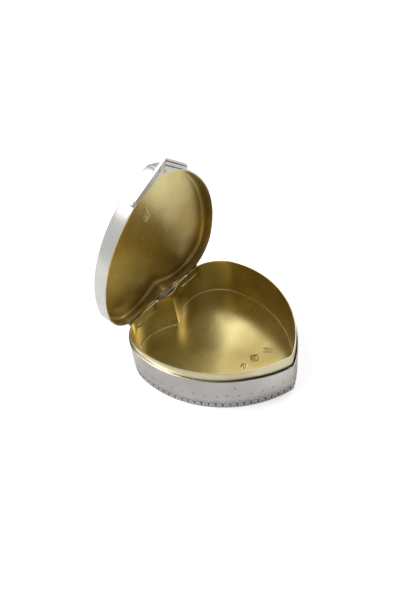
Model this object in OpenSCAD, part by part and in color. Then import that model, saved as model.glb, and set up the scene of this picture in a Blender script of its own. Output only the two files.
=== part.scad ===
// Heart-shaped silver trinket box with a hinged lid, gilt inside.
// Millimetres, +Z up. The origin is the middle of the base's footprint, on the
// surface the box stands on. The heart's point faces -Y and the hinge lies along X
// at the back. The lid is drawn open; in its own frame it lies closed on the base.

/* [Heart outline] */
// Distance of each lobe's centre from the middle plane
lobe_x = 13; // [12:0.5:15]
// Distance of the lobes' centres from the heart's point
lobe_y = 46; // [44:0.5:50]
// Radius of each lobe
lobe_r = 16.6; // [16:0.1:18]
// Angle on the lobe at which the long side arc begins
side_angle = 9.5; // [5:0.5:14]
// Slope of the short straight stretch down into the cleft
cleft_slope = 24.4; // [20:0.2:28]

/* [Base] */
// Height of the outer side wall
wall_h = 14.7; // [13:0.1:18]
// Thickness of the outer side wall
wall_t = 0.8; // [0.6:0.1:1]
// Thickness of the bottom sheet
floor_t = 0.9; // [0.6:0.1:1.2]
// Thickness of the gilt bezel strip inside the wall
bezel_t = 0.5; // [0.4:0.1:0.6]
// Height of the bezel's top edge at the front
bezel_front = 18.4; // [17.5:0.1:19]
// Height of the bezel's top edge beside the hinge
bezel_back = 16.2; // [16:0.1:17]
// Height at which the straight hinge seat starts inside the back wall
seat_bottom = 11.4; // [10:0.1:12.5]

/* [Lid] */
// Depth of the lid's side wall
lid_h = 5.5; // [5:0.1:7]
// Thickness of the lid's side wall
lid_wall_t = 0.55; // [0.5:0.05:0.55]
// Thickness of the lid's top sheet
lid_plate_t = 0.6; // [0.5:0.1:0.8]
// Rise of the lid's shallow dome
lid_dome = 1; // [0.6:0.1:1.5]
// Angle between the open lid and the base, at the stop
lid_open = 81.5; // [75:0.5:90]
// Gap between the closed lid's edge and the wall
rim_gap = 0.15; // [0.1:0.05:0.2]

/* [Hinge] */
// Outer radius of the knuckles
knuckle_r = 1.1; // [1:0.05:1.1]
// Radius of the hinge pin
pin_r = 0.5; // [0.4:0.05:0.6]
// Radial running clearance of the pin in the base's knuckles
pin_play = 0.04; // [0.02:0.01:0.08]
// Half the length of the middle knuckle
knuckle_mid = 4.35; // [4:0.05:5]
// Distance from the middle to the far end of the base's knuckles
knuckle_far = 13.3; // [12:0.1:14]
// Half the length of the hinge
hinge_half = 20; // [19:0.1:20.5]
// Gap between neighbouring knuckles, and round the other body's knuckles
hinge_gap = 0.15; // [0.1:0.05:0.2]
// Distance of the hinge axis in front of the lobes' back
hinge_inset = 1.2; // [1.1:0.05:1.3]

/* [Thumb lip] */
// Reach of the lip's point beyond the heart's point
lip_reach = 6.5; // [5:0.1:8]
// Half the width across the ends of the lip's two arms
lip_half = 12.5; // [11:0.5:14]
// Distance of the arms' front corners from the heart's point
lip_corner = 3.9; // [3:0.1:5]
// Thickness of the lip
lip_t = 0.9; // [0.6:0.1:1.2]
// Slope of the lip and of the wall's edge under it
lip_slope = 10; // [6:0.5:12]
// Distance from the heart's point at which that slope starts
lip_root = 8; // [6:0.5:10]
// Radius of the small scroll at the end of each arm
scroll_r = 0.9; // [0.7:0.1:1.1]

/* [Hidden] */

silver = "silver";
gilt = "darkkhaki";
arc_step = 3;                             // degrees between points of an arc
heart_len = lobe_y + lobe_r;              // from the point to the lobes' backs
hinge_y = heart_len - hinge_inset;
hinge_z = wall_h - 0.25;
channel_r = knuckle_r + hinge_gap;
stop_angle = lid_open / 2 + 1.2;          // the two walls' back edges meet here when open
seat_front = hinge_y - 1.8;               // inner face of the straight hinge seat
lid_rim = wall_h + rim_gap;
lid_top = lid_rim + lid_h;
dome_r = (heart_len * heart_len / 4 + lid_dome * lid_dome) / (2 * lid_dome);
far = 100;                                // reach of the cutting shapes

// The side arc touches the lobe at side_angle, and its circle passes through the point.
side_k = (lobe_x * lobe_x + lobe_y * lobe_y - lobe_r * lobe_r)
       / (2 * (lobe_x * cos(side_angle) + lobe_y * sin(side_angle)) + 2 * lobe_r);
side_r = lobe_r + side_k;
side_x = lobe_x - side_k * cos(side_angle);
side_y = lobe_y - side_k * sin(side_angle);

// Height of the point of an outline set in by d, measured along Y.
function tip_y(d) = side_y - sqrt(pow(side_r - d, 2) - side_x * side_x);

// Points of an arc about [cx, cy] of radius r from angle a to angle b.
function arc(cx, cy, r, a, b) =
    let (n = ceil(abs(b - a) / arc_step))
    [for (i = [0 : n]) [cx + r * cos(a + (b - a) * i / n), cy + r * sin(a + (b - a) * i / n)]];

// Right half of the outline set in by d, from the cleft to just before the point.
function half_outline(d) =
    let (lobe = arc(lobe_x, lobe_y, lobe_r - d, 90 + cleft_slope, side_angle),
         side = arc(side_x, side_y, side_r - d, side_angle, atan2(tip_y(d) - side_y, -side_x)),
         start = lobe[0])
    concat([[0, start[1] - start[0] * tan(cleft_slope)]], lobe,
           [for (i = [1 : len(side) - 2]) side[i]]);

// Flat heart set in by d from the outer wall.
module heart(d) {
    half = half_outline(d);
    polygon(concat(half, [[0, tip_y(d)]],
                   [for (i = [len(half) - 1 : -1 : 1]) [-half[i][0], half[i][1]]]));
}

// Heart-shaped band between two insets and two heights.
module band(outer, inner, z0, z1) {
    translate([0, 0, z0])
        linear_extrude(z1 - z0)
            difference() {
                heart(outer);
                heart(inner);
            }
}

// Extrudes an outline drawn in Y and Z to half the width w on each side of the middle.
module across(w) {
    rotate([90, 0, 90])
        translate([0, 0, -w])
            linear_extrude(2 * w)
                children();
}

// Everything above the wall's edge, which slopes down towards the point.
module above_edge(lift) {
    drop = (lip_root + far) * tan(lip_slope);
    across(far)
        polygon([[-far, wall_h - drop + lift], [lip_root, wall_h + lift], [far, wall_h + lift],
                 [far, far], [-far, far]]);
}

// Everything below that edge.
module below_edge(lift) {
    drop = (lip_root + far) * tan(lip_slope);
    across(far)
        polygon([[-far, wall_h - drop + lift], [-far, -far], [far, -far],
                 [far, wall_h + lift], [lip_root, wall_h + lift]]);
}

// Cylinder along the hinge axis between two places on it.
module hinge_rod(r, x0, x1) {
    translate([x0, hinge_y, hinge_z])
        rotate([0, 90, 0])
            cylinder(r = r, h = x1 - x0, $fn = 48);
}

// Room for the hinge in a body: up = 1 clears what is above the axis, -1 what is below.
// The slanting side is the stop, where the two walls' back edges meet.
module hinge_room(up) {
    w = hinge_half + hinge_gap;
    hinge_rod(channel_r, -w, w);
    translate([0, hinge_y, hinge_z])
        across(w)
            polygon([[0, 0], [-channel_r, 0], [-channel_r, up * far], [far, up * far],
                     [far, -up * far * tan(stop_angle)]]);
}

// One tube of the hinge from x0 to x1 with half a gap at each end.
module knuckle(x0, x1, bore_r) {
    difference() {
        hinge_rod(knuckle_r, x0 + hinge_gap / 2, x1 - hinge_gap / 2);
        hinge_rod(bore_r, x0 - 1, x1 + 1);
    }
}

// The bezel's top edge falls in a long curve from the front to the hinge.
module above_bezel() {
    run = hinge_y - lobe_y * 0.6;
    fall = bezel_front - bezel_back;
    curve_r = (run * run + fall * fall) / (2 * fall) * 1.3;
    crest = lobe_y * 0.6 - run * 0.15;
    translate([-far, crest, bezel_front + 0.05])
        difference() {
            translate([0, 0, -10])
                cube([2 * far, far, 20]);
            translate([-1, 0, -curve_r])
                rotate([0, 90, 0])
                    cylinder(r = curve_r, h = 2 * far + 2, $fn = 360);
        }
}

// Moves a base part from the frame of the outline to the part's frame.
module on_base() {
    translate([0, -heart_len / 2, 0])
        children();
}

// The same for a lid part, opened about the hinge axis.
module on_lid() {
    on_base()
        translate([0, hinge_y, hinge_z])
            rotate([-lid_open, 0, 0])
                translate([0, -hinge_y, -hinge_z])
                    children();
}

// Ball whose top is the dome of the lid, lowered by d.
module dome_ball(d) {
    translate([0, heart_len / 2, lid_top + lid_dome - dome_r])
        sphere(r = dome_r - d, $fn = 360);
}

// Outer silver side band of the base, filed down at the point to take the lip.
module base_wall() {
    color(silver)
        on_base()
            difference() {
                band(0, wall_t, 0, wall_h);
                above_edge(0);
                hinge_room(1);
            }
}

// Bottom sheet, soldered inside the wall.
module base_floor() {
    color(gilt)
        on_base()
            linear_extrude(floor_t)
                heart(wall_t);
}

// Gilt strip standing inside the wall and above it, which locates the lid.
module bezel() {
    color(gilt)
        on_base()
            difference() {
                band(wall_t, wall_t + bezel_t, floor_t, bezel_front);
                above_bezel();
                hinge_room(1);
            }
}

// Straight seat that carries the base's knuckle, between the lobe's wall and the hinge.
module hinge_seat(side) {
    own = [side * (knuckle_mid + knuckle_far) / 2, (knuckle_far - knuckle_mid) / 2];
    w = hinge_half + hinge_gap;
    on_base()
        difference() {
            translate([0, 0, seat_bottom])
                linear_extrude(bezel_front - seat_bottom)
                    intersection() {
                        heart(wall_t + bezel_t);
                        translate([side > 0 ? 0 : -w, seat_front])
                            square([w, far]);
                    }
            above_bezel();
            hinge_rod(knuckle_r, -w - 1, w + 1);
            hinge_rod(channel_r, side > 0 ? own[0] + own[1] : -w - 1,
                      side > 0 ? w + 1 : own[0] - own[1]);
            translate([0, hinge_y, hinge_z])
                across(w + 1)
                    polygon([[0, 0], [-channel_r, 0], [-channel_r, far], [far, far], [far, 0]]);
        }
}

module hinge_seat_left() {
    color(gilt)
        hinge_seat(-1);
}

module hinge_seat_right() {
    color(gilt)
        hinge_seat(1);
}

module base_knuckle_left() {
    color(gilt)
        on_base()
            knuckle(-knuckle_far, -knuckle_mid, pin_r + pin_play);
}

module base_knuckle_right() {
    color(gilt)
        on_base()
            knuckle(knuckle_mid, knuckle_far, pin_r + pin_play);
}

// Silver side band of the lid.
module lid_wall() {
    color(silver)
        on_lid()
            intersection() {
                difference() {
                    band(0, lid_wall_t, wall_h - 3, lid_top + lid_dome);
                    below_edge(rim_gap);
                    hinge_room(-1);
                }
                dome_ball(0);
            }
}

// Shallow domed top sheet, let into the lid's wall.
module lid_plate() {
    color(silver)
        on_lid()
            intersection() {
                difference() {
                    translate([0, 0, lid_rim])
                        linear_extrude(lid_h + lid_dome)
                            heart(lid_wall_t);
                    dome_ball(lid_plate_t);
                }
                dome_ball(0);
            }
}

// Straight strip across the back of the lid that carries its three knuckles.
module lid_hinge_seat() {
    thick = 0.6;
    color(gilt)
        on_lid()
            difference() {
                translate([-hinge_half, hinge_y - thick - 0.05, hinge_z])
                    cube([2 * hinge_half, thick, lid_top - lid_plate_t - hinge_z]);
                hinge_rod(knuckle_r, -far, far);
                hinge_rod(channel_r, knuckle_mid, knuckle_far);
                hinge_rod(channel_r, -knuckle_far, -knuckle_mid);
            }
}

module lid_knuckle_left() {
    color(silver)
        on_lid()
            knuckle(-hinge_half - hinge_gap / 2, -knuckle_far, pin_r);
}

module lid_knuckle_middle() {
    color(silver)
        on_lid()
            knuckle(-knuckle_mid, knuckle_mid, pin_r);
}

module lid_knuckle_right() {
    color(silver)
        on_lid()
            knuckle(knuckle_far, hinge_half + hinge_gap / 2, pin_r);
}

// Pin through all five knuckles, tight in the lid's three.
module hinge_pin() {
    color(silver)
        on_lid()
            hinge_rod(pin_r, -hinge_half, hinge_half);
}

// V-shaped thumb lip along the two sides of the heart's point.
module thumb_lip() {
    color(silver)
        on_lid()
            difference() {
                translate([0, 0, wall_h - 5])
                    linear_extrude(10)
                        difference() {
                            polygon([[0, -lip_reach], [lip_half, lip_corner],
                                     [lip_half, lip_half], [-lip_half, lip_half],
                                     [-lip_half, lip_corner]]);
                            heart(0);
                        }
                below_edge(rim_gap);
                above_edge(rim_gap + lip_t);
            }
}

// Small scroll that finishes one arm of the lip.
module lip_scroll(side) {
    scroll_y = lip_corner + 1.6;
    z = wall_h + rim_gap - (lip_root - scroll_y) * tan(lip_slope);
    on_lid()
        translate([side * (lip_half + scroll_r - 0.1), scroll_y, z])
            cylinder(r = scroll_r, h = lip_t + 0.3, $fn = 32);
}

module lip_scroll_left() {
    color(silver)
        lip_scroll(-1);
}

module lip_scroll_right() {
    color(silver)
        lip_scroll(1);
}

base_wall();
base_floor();
bezel();
hinge_seat_left();
hinge_seat_right();
base_knuckle_left();
base_knuckle_right();
lid_wall();
lid_plate();
lid_hinge_seat();
lid_knuckle_left();
lid_knuckle_middle();
lid_knuckle_right();
hinge_pin();
thumb_lip();
lip_scroll_left();
lip_scroll_right();
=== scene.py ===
# %% [markdown]
# # A heart-shaped silver trinket box, open
#
# The box is thin sheet silver, gilt inside. A silversmith bends a strip round a heart, solders a flat sheet
# under it, sets a second strip inside that stands above the edge, and hangs a shallow lid on a five-knuckle
# hinge. This lesson builds those pieces one after another as surfaces worked out with numpy.
#
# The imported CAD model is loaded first. It fixes where everything is, and which pieces turn with the lid.

import bpy
import numpy as np
from mathutils import Matrix, Vector


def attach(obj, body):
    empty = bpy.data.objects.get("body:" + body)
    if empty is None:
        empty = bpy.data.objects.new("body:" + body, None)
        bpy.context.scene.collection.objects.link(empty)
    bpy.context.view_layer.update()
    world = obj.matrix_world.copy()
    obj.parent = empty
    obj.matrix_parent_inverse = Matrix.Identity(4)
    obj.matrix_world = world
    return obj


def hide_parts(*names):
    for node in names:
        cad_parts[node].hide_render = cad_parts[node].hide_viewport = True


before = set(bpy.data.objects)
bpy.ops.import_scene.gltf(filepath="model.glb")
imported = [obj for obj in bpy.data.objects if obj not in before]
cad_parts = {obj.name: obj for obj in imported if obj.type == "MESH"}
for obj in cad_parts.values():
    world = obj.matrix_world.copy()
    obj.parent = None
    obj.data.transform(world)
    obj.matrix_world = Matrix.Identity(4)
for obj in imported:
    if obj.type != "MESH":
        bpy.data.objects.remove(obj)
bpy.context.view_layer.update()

# %% [markdown]
# ## The camera
#
# A camera is a place, a direction to look in, and an up direction. The three make a turning matrix: its
# columns are the camera's right, its up, and the reverse of where it looks. The lens is as long as the
# sensor is tall, which is a slightly wide view from about a quarter of a metre away.

# %% Place the camera
MM = 0.001
EYE = Vector((-114.31, -101.58, 180.88)) * MM
LOOK = Vector((0.51696, 0.48678, -0.70412)).normalized()
UP = Vector((0.58409, 0.40073, 0.70587))

right = LOOK.cross(UP).normalized()
turned = Matrix((right, right.cross(LOOK), -LOOK)).transposed()
camera_data = bpy.data.cameras.new("camera")
camera_data.sensor_width = 36
camera_data.lens = 36
camera_data.clip_start = 0.01
camera = bpy.data.objects.new("camera", camera_data)
camera.matrix_world = Matrix.Translation(EYE) @ turned.to_4x4()
bpy.context.scene.collection.objects.link(camera)
bpy.context.scene.camera = camera
print("camera stands", round(EYE.length, 3), "m from the middle of the base")

# %% [markdown]
# ## The heart
#
# Every strip of the box follows one heart. Its right half is a short straight line down into the cleft, a
# round lobe, and a long shallow arc to the point; the left half is its mirror image. Setting the outline in
# by some distance only makes both arcs smaller about the same centres, so one function gives the outer face
# of the wall, its inner face, the lining and the lid, and a groove is nothing but a little more inset.

# %% The outline as a function
LOBE_X, LOBE_Y, LOBE_R = 13.0, 46.0, 16.6
SIDE_ANGLE = np.radians(9.5)
CLEFT_SLOPE = np.radians(24.4)
HEART_LEN = LOBE_Y + LOBE_R

side_k = (LOBE_X**2 + LOBE_Y**2 - LOBE_R**2) / (
    2 * (LOBE_X * np.cos(SIDE_ANGLE) + LOBE_Y * np.sin(SIDE_ANGLE)) + 2 * LOBE_R
)
SIDE_R = LOBE_R + side_k
SIDE_X = LOBE_X - side_k * np.cos(SIDE_ANGLE)
SIDE_Y = LOBE_Y - side_k * np.sin(SIDE_ANGLE)
LOBE_START = np.pi / 2 + CLEFT_SLOPE
POINT_ANGLE = np.arctan2(-SIDE_Y, -SIDE_X)
STRAIGHT_LEN = (LOBE_X + LOBE_R * np.cos(LOBE_START)) / np.cos(CLEFT_SLOPE)
LOBE_LEN = LOBE_R * (LOBE_START - SIDE_ANGLE)
SIDE_LEN = SIDE_R * (SIDE_ANGLE - POINT_ANGLE)
HALF_LEN = STRAIGHT_LEN + LOBE_LEN + SIDE_LEN
POINT_SLOPE = np.tan(POINT_ANGLE + np.pi / 2)
SOFT_REACH = 6.0


def heart(u, inset, soft=0.2):
    """Point of the heart set in by inset millimetres. u goes from 0 at the cleft down the right side to 1 at
    the point, and up the left side to 2 at the cleft again. Equal steps of u are equal steps along the outer
    edge. The two corners are eased: near the middle y follows the root of (x squared + soft squared), not x."""
    u, inset, soft = np.broadcast_arrays(np.asarray(u, float), inset, soft)
    side = np.where(u <= 1, 1.0, -1.0)
    walked = np.where(u <= 1, u, 2 - u) * HALF_LEN
    on_line = np.clip(walked / STRAIGHT_LEN, 0, 1)
    on_lobe = np.clip((walked - STRAIGHT_LEN) / LOBE_LEN, 0, 1)
    on_side = np.clip((walked - STRAIGHT_LEN - LOBE_LEN) / SIDE_LEN, 0, 1)
    lobe_r, side_r = LOBE_R - inset, SIDE_R - inset
    lobe_at = LOBE_START + (SIDE_ANGLE - LOBE_START) * on_lobe
    tip_y = SIDE_Y - np.sqrt(side_r**2 - SIDE_X**2)
    side_at = SIDE_ANGLE + (np.arctan2(tip_y - SIDE_Y, -SIDE_X) - SIDE_ANGLE) * on_side
    start_x = LOBE_X + lobe_r * np.cos(LOBE_START)
    start_y = LOBE_Y + lobe_r * np.sin(LOBE_START)
    line_y = start_y - (1 - on_line) * start_x * np.tan(CLEFT_SLOPE)
    x = np.where(on_side > 0, SIDE_X + side_r * np.cos(side_at), LOBE_X + lobe_r * np.cos(lobe_at))
    y = np.where(on_side > 0, SIDE_Y + side_r * np.sin(side_at), LOBE_Y + lobe_r * np.sin(lobe_at))
    x = np.where(on_lobe > 0, x, start_x * on_line)
    y = np.where(on_lobe > 0, y, line_y)
    slope = np.where(walked < HALF_LEN / 2, np.tan(CLEFT_SLOPE), POINT_SLOPE)
    y = y + slope * (np.sqrt(x**2 + soft**2) - x) * np.clip(1 - x / SOFT_REACH, 0, 1)
    return side * x, y


print("way round the heart:", round(2 * HALF_LEN, 1), "mm")

# %% [markdown]
# ## Putting a surface into a mesh
#
# A surface worked out on a grid is three arrays, x, y and z, with rows and columns. Each small square of
# four neighbouring points becomes a face. The columns wrap round, the rows may do so too, and a row that
# shrinks to a point gets a fan of triangles. Everything is in millimetres, measured from the heart's point,
# until the last moment, when it is moved to the middle of the base and turned into metres.

# %% From grids to a piece
MIDDLE_Y = HEART_LEN / 2
SHARP_ANGLE = np.radians(35)


def grid(x, y, z, wrap_rows=False, first_pole=None, last_pole=None, painted_darkness=None, others=()):
    """Points, faces, and how much each point's colour is darkened, mostly as painted shade. The columns close
    on themselves, the rows only where asked. A pole is one point that closes an end. others are slices of the
    rows whose faces wear the piece's second finish, its third, and so on."""
    x, y, z = np.broadcast_arrays(x, y, z)
    rows, columns = x.shape
    points = np.stack([x, y, z], axis=-1).reshape(-1, 3)
    painted_darkness = np.zeros(rows * columns) if painted_darkness is None else np.broadcast_to(painted_darkness, x.shape).reshape(-1)
    index = np.arange(rows * columns).reshape(rows, columns)
    index = np.vstack([index, index[:1]]) if wrap_rows else index
    index = np.hstack([index, index[:, :1]])
    corners = [index[:-1, :-1], index[:-1, 1:], index[1:, 1:], index[1:, :-1]]
    quads = np.stack(corners, axis=-1).reshape(-1, 4)
    finish = np.zeros((index.shape[0] - 1, index.shape[1] - 1), np.int32)
    for number, worn in enumerate(others, 1):
        finish[worn] = number
    finishes = [finish.ravel()]
    fans = []
    for pole, row, order in ((first_pole, 0, 1), (last_pole, -1, -1)):
        if pole is not None:
            top = np.full(index.shape[1] - 1, len(points))
            fans.append(np.stack([top, index[row, 1:], index[row, :-1]][::order], axis=-1))
            finishes.append(finish[row])
            points = np.vstack([points, [pole]])
            painted_darkness = np.append(painted_darkness, 0)
    triangles = np.concatenate(fans) if fans else np.zeros((0, 3), int)
    return points, quads, triangles, painted_darkness, np.concatenate(finishes)


def open_lid(points):
    """Turns points of the closed lid about the hinge line to where the open lid is."""
    y, z = points[:, 1] - HINGE_Y, points[:, 2] - HINGE_Z
    turned_y = HINGE_Y + y * np.cos(LID_OPEN) + z * np.sin(LID_OPEN)
    turned_z = HINGE_Z - y * np.sin(LID_OPEN) + z * np.cos(LID_OPEN)
    return np.stack([points[:, 0], turned_y, turned_z], axis=-1)


def enclosed(points, quads, triangles):
    """Volume inside a closed skin: a sixth of the sum of a . (b x c) over its triangles. It is negative when
    the faces look inwards."""
    corners = points[np.concatenate([triangles, quads[:, [0, 1, 2]], quads[:, [0, 2, 3]]])]
    return float((corners[:, 0] * np.cross(corners[:, 1], corners[:, 2])).sum() / 6)


def piece(name, surface, body, finishes, slot, *nodes):
    """Makes a grid into an object that rides on a body, wears its finishes and stands for CAD nodes."""
    points, quads, triangles, painted_darkness, finish = surface
    points = open_lid(points) if body == "lid" else points
    points = (points - [0, MIDDLE_Y, 0]) * MM
    if enclosed(points, quads, triangles) < 0:
        quads, triangles = quads[:, ::-1], triangles[:, ::-1]
    mesh = bpy.data.meshes.new(name)
    mesh.vertices.add(len(points))
    mesh.vertices.foreach_set("co", points.astype(np.float32).ravel())
    mesh.loops.add(quads.size + triangles.size)
    corner_list = np.concatenate([quads.ravel(), triangles.ravel()])
    mesh.loops.foreach_set("vertex_index", corner_list.astype(np.int32))
    starts = np.concatenate([np.arange(len(quads)) * 4, quads.size + np.arange(len(triangles)) * 3])
    mesh.polygons.add(len(starts))
    mesh.polygons.foreach_set("loop_start", starts.astype(np.int32))
    mesh.update(calc_edges=True)
    mesh.validate()
    # Each point's darkening, mostly painted shade, is stored on the mesh for the materials to read.
    depth = mesh.attributes.new("painted_darkness", "FLOAT", "POINT")
    depth.data.foreach_set("value", painted_darkness.astype(np.float32))
    mesh.shade_smooth()
    mesh.set_sharp_from_angle(angle=SHARP_ANGLE)
    for material in finishes:
        mesh.materials.append(material)
    mesh.polygons.foreach_set("material_index", finish.astype(np.int32))
    made = bpy.data.objects.new(name, mesh)
    bpy.context.scene.collection.objects.link(made)
    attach(made, body)
    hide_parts(*nodes)
    print(f"{name}: {2 * len(quads) + len(triangles)} triangles, stands for {', '.join(nodes)}")


print("edges sharper than", round(float(np.degrees(SHARP_ANGLE))), "degrees stay sharp")

# %% [markdown]
# ## Finishes
#
# Sheet metal that has been handled for many years is never one even colour. Three effects make it look real:
# fine polishing marks that bend the reflection, cloudy patches that are a little duller than the rest, and
# painted shade that darkens gaps, creases, grooves and channels, and also the cuts and punch marks. Each
# effect is a node group, built once, with sockets for its values. The metal materials then use them with
# their own values.

# %% [markdown]
# The same few nodes come again and again, so short helpers add them: a group with its sockets, a sum or
# product, a noise, and a change of range.

# %% Node group helpers
def node_group(name, inputs, outputs):
    """An empty shader node group with float or vector inputs and value outputs, and its two end nodes."""
    tree = bpy.data.node_groups.new(name, "ShaderNodeTree")
    for label, kind, value in inputs:
        socket = tree.interface.new_socket(label, in_out="INPUT", socket_type="NodeSocket" + kind)
        if kind == "Float":
            socket.default_value = value
    for label in outputs:
        tree.interface.new_socket(label, in_out="OUTPUT", socket_type="NodeSocketFloat")
    return tree, tree.nodes.new("NodeGroupInput"), tree.nodes.new("NodeGroupOutput")


def add_math(tree, operation, first, second):
    """A Math node whose two inputs are sockets or plain numbers."""
    made = tree.nodes.new("ShaderNodeMath")
    made.operation = operation
    for socket, value in zip(made.inputs, (first, second)):
        if isinstance(value, (int, float)):
            socket.default_value = value
        else:
            tree.links.new(value, socket)
    return made.outputs[0]


def add_noise(tree, vector, scale, detail, roughness=0.5, stretch=None):
    """A Noise Texture on a vector, which a Mapping node may stretch first."""
    if stretch:
        mapping = tree.nodes.new("ShaderNodeMapping")
        mapping.inputs["Rotation"].default_value = stretch[0]
        mapping.inputs["Scale"].default_value = stretch[1]
        tree.links.new(vector, mapping.inputs["Vector"])
        vector = mapping.outputs[0]
    made = tree.nodes.new("ShaderNodeTexNoise")
    tree.links.new(vector, made.inputs["Vector"])
    if isinstance(scale, (int, float)):
        made.inputs["Scale"].default_value = scale
    else:
        tree.links.new(scale, made.inputs["Scale"])
    made.inputs["Detail"].default_value = detail
    made.inputs["Roughness"].default_value = roughness
    return made.outputs["Fac"]


def add_range(tree, value, low, high, to_low=0.0, to_high=1.0):
    """A Map Range node: low becomes to_low and high becomes to_high, with nothing beyond them."""
    made = tree.nodes.new("ShaderNodeMapRange")
    tree.links.new(value, made.inputs["Value"])
    for label, number in (("From Min", low), ("From Max", high), ("To Min", to_low), ("To Max", to_high)):
        made.inputs[label].default_value = number
    return made.outputs[0]


print("helpers: node_group, add_math, add_noise, add_range")

# %% [markdown]
# Two stretched noises that cross make the polishing marks, a wide noise makes the patches, and painted shade
# darkens each point by a value that the meshes carry: gaps, creases, grooves and channels where shade falls,
# and also the cuts and punch marks. Painted pictures could do the same, but noise in space needs no
# unwrapping and never shows a seam.

# %% The three effects
MARKS_SCALE, DENTS_SCALE, SHADE_NOISE_SCALE = 900.0, 140.0, 700.0

marks, marks_in, marks_out = node_group(
    "polishing_marks", [("Vector", "Vector", None), ("Scale", "Float", MARKS_SCALE)], ["Height", "Mask"]
)
one_way = add_noise(marks, marks_in.outputs["Vector"], marks_in.outputs["Scale"], 3, 0.6,
                    ((0.3, 0.2, 0.6), (0.08, 1.0, 1.0)))
other_way = add_noise(marks, marks_in.outputs["Vector"], marks_in.outputs["Scale"], 3, 0.6,
                      ((0.1, 0.5, -0.5), (1.0, 0.07, 1.0)))
dents = add_noise(marks, marks_in.outputs["Vector"], DENTS_SCALE, 2)
both_ways = add_math(marks, "ADD", one_way, other_way)
wide_dents = add_math(marks, "MULTIPLY", dents, 2.5)
marks.links.new(add_math(marks, "ADD", both_ways, wide_dents), marks_out.inputs["Height"])
marks.links.new(add_range(marks, one_way, 0.35, 0.8), marks_out.inputs["Mask"])

cloud, cloud_in, cloud_out = node_group(
    "cloudy_patches", [("Vector", "Vector", None), ("Scale", "Float", 60.0)], ["Mask"]
)
patches = add_noise(cloud, cloud_in.outputs["Vector"], cloud_in.outputs["Scale"], 2)
cloud.links.new(add_range(cloud, patches, 0.36, 0.66), cloud_out.inputs["Mask"])

# Painted shade: this group darkens the colour by each point's stored value, made uneven by a fine noise.
painted_shade_tree, painted_shade_in, painted_shade_out = node_group(
    "painted_shade", [("Vector", "Vector", None), ("Amount", "Float", 1.0)], ["Mask"]
)
shade_attribute = painted_shade_tree.nodes.new("ShaderNodeAttribute")
shade_attribute.attribute_name = "painted_darkness"
uneven = add_noise(painted_shade_tree, painted_shade_in.outputs["Vector"], SHADE_NOISE_SCALE, 4, 0.6)
shade_amount = add_math(painted_shade_tree, "MULTIPLY", shade_attribute.outputs["Fac"], add_range(painted_shade_tree, uneven, 0.25, 0.6, 0.55, 1.0))
kept = painted_shade_tree.nodes.new("ShaderNodeClamp")
painted_shade_tree.links.new(add_math(painted_shade_tree, "MULTIPLY", shade_amount, painted_shade_in.outputs["Amount"]), kept.inputs["Value"])
painted_shade_tree.links.new(kept.outputs[0], painted_shade_out.inputs["Mask"])
print("effects:", [tree.name for tree in bpy.data.node_groups])

# %% [markdown]
# A metal's own colour is the colour of what it mirrors, so polished silver is nearly white and gilding a
# warm yellow. Every finish here is the same recipe with other numbers: a bright colour, a second colour in
# the cloudy patches, a dark colour for painted shade and for the cuts and punch marks, and a roughness that
# changes with the patches.

# %% A recipe for old polished metal
MARK_DEPTH = 0.0001
ROUGHER_MARKS, ROUGHER_WHERE_DARKENED = 0.03, 0.35


def add_mix(tree, factor, first, second):
    """A Mix node between two colours; each is a socket or three numbers."""
    made = tree.nodes.new("ShaderNodeMix")
    made.data_type = "RGBA"
    tree.links.new(factor, made.inputs["Factor"])
    for socket, value in ((made.inputs[6], first), (made.inputs[7], second)):
        if isinstance(value, tuple):
            socket.default_value = (*value, 1.0)
        else:
            tree.links.new(value, socket)
    return made.outputs[2]


def old_metal(name, bright, patch, dark, smooth, dull, patch_scale=60.0, bump=0.1):
    """A metal with polishing marks, cloudy patches and painted shade. smooth and dull are its two roughnesses.
    """
    material = bpy.data.materials.new(name)
    material.use_nodes = True
    tree = material.node_tree
    shader = tree.nodes["Principled BSDF"]
    shader.inputs["Metallic"].default_value = 1.0
    place = tree.nodes.new("ShaderNodeTexCoord").outputs["Object"]
    used = []
    for group, socket, value in ((marks, "Scale", MARKS_SCALE), (cloud, "Scale", patch_scale),
                                 (painted_shade_tree, "Amount", 1.0)):
        made = tree.nodes.new("ShaderNodeGroup")
        made.node_tree = group
        made.inputs[socket].default_value = value
        tree.links.new(place, made.inputs["Vector"])
        used.append(made)
    lines, patches_of, painted_shade = used
    colour = add_mix(tree, patches_of.outputs["Mask"], bright, patch)
    colour = add_mix(tree, painted_shade.outputs["Mask"], colour, dark)
    tree.links.new(colour, shader.inputs["Base Color"])
    rough = add_range(tree, patches_of.outputs["Mask"], 0.0, 1.0, smooth, dull)
    rough = add_math(tree, "ADD", rough, add_math(tree, "MULTIPLY", lines.outputs["Mask"], ROUGHER_MARKS))
    rough = add_math(tree, "ADD", rough, add_math(tree, "MULTIPLY", painted_shade.outputs["Mask"], ROUGHER_WHERE_DARKENED))
    tree.links.new(rough, shader.inputs["Roughness"])
    relief = tree.nodes.new("ShaderNodeBump")
    relief.inputs["Strength"].default_value = bump
    relief.inputs["Distance"].default_value = MARK_DEPTH
    tree.links.new(lines.outputs["Height"], relief.inputs["Height"])
    tree.links.new(relief.outputs[0], shader.inputs["Normal"])
    return material


# Painted shade: the base's silver is a darker copy of the lid's silver, standing in for the dim reflection on
# the wall.
silver = old_metal(
    "silver", bright=(0.76, 0.73, 0.70), patch=(0.66, 0.63, 0.60), dark=(0.05, 0.04, 0.035),
    smooth=0.24, dull=0.38
)
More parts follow.
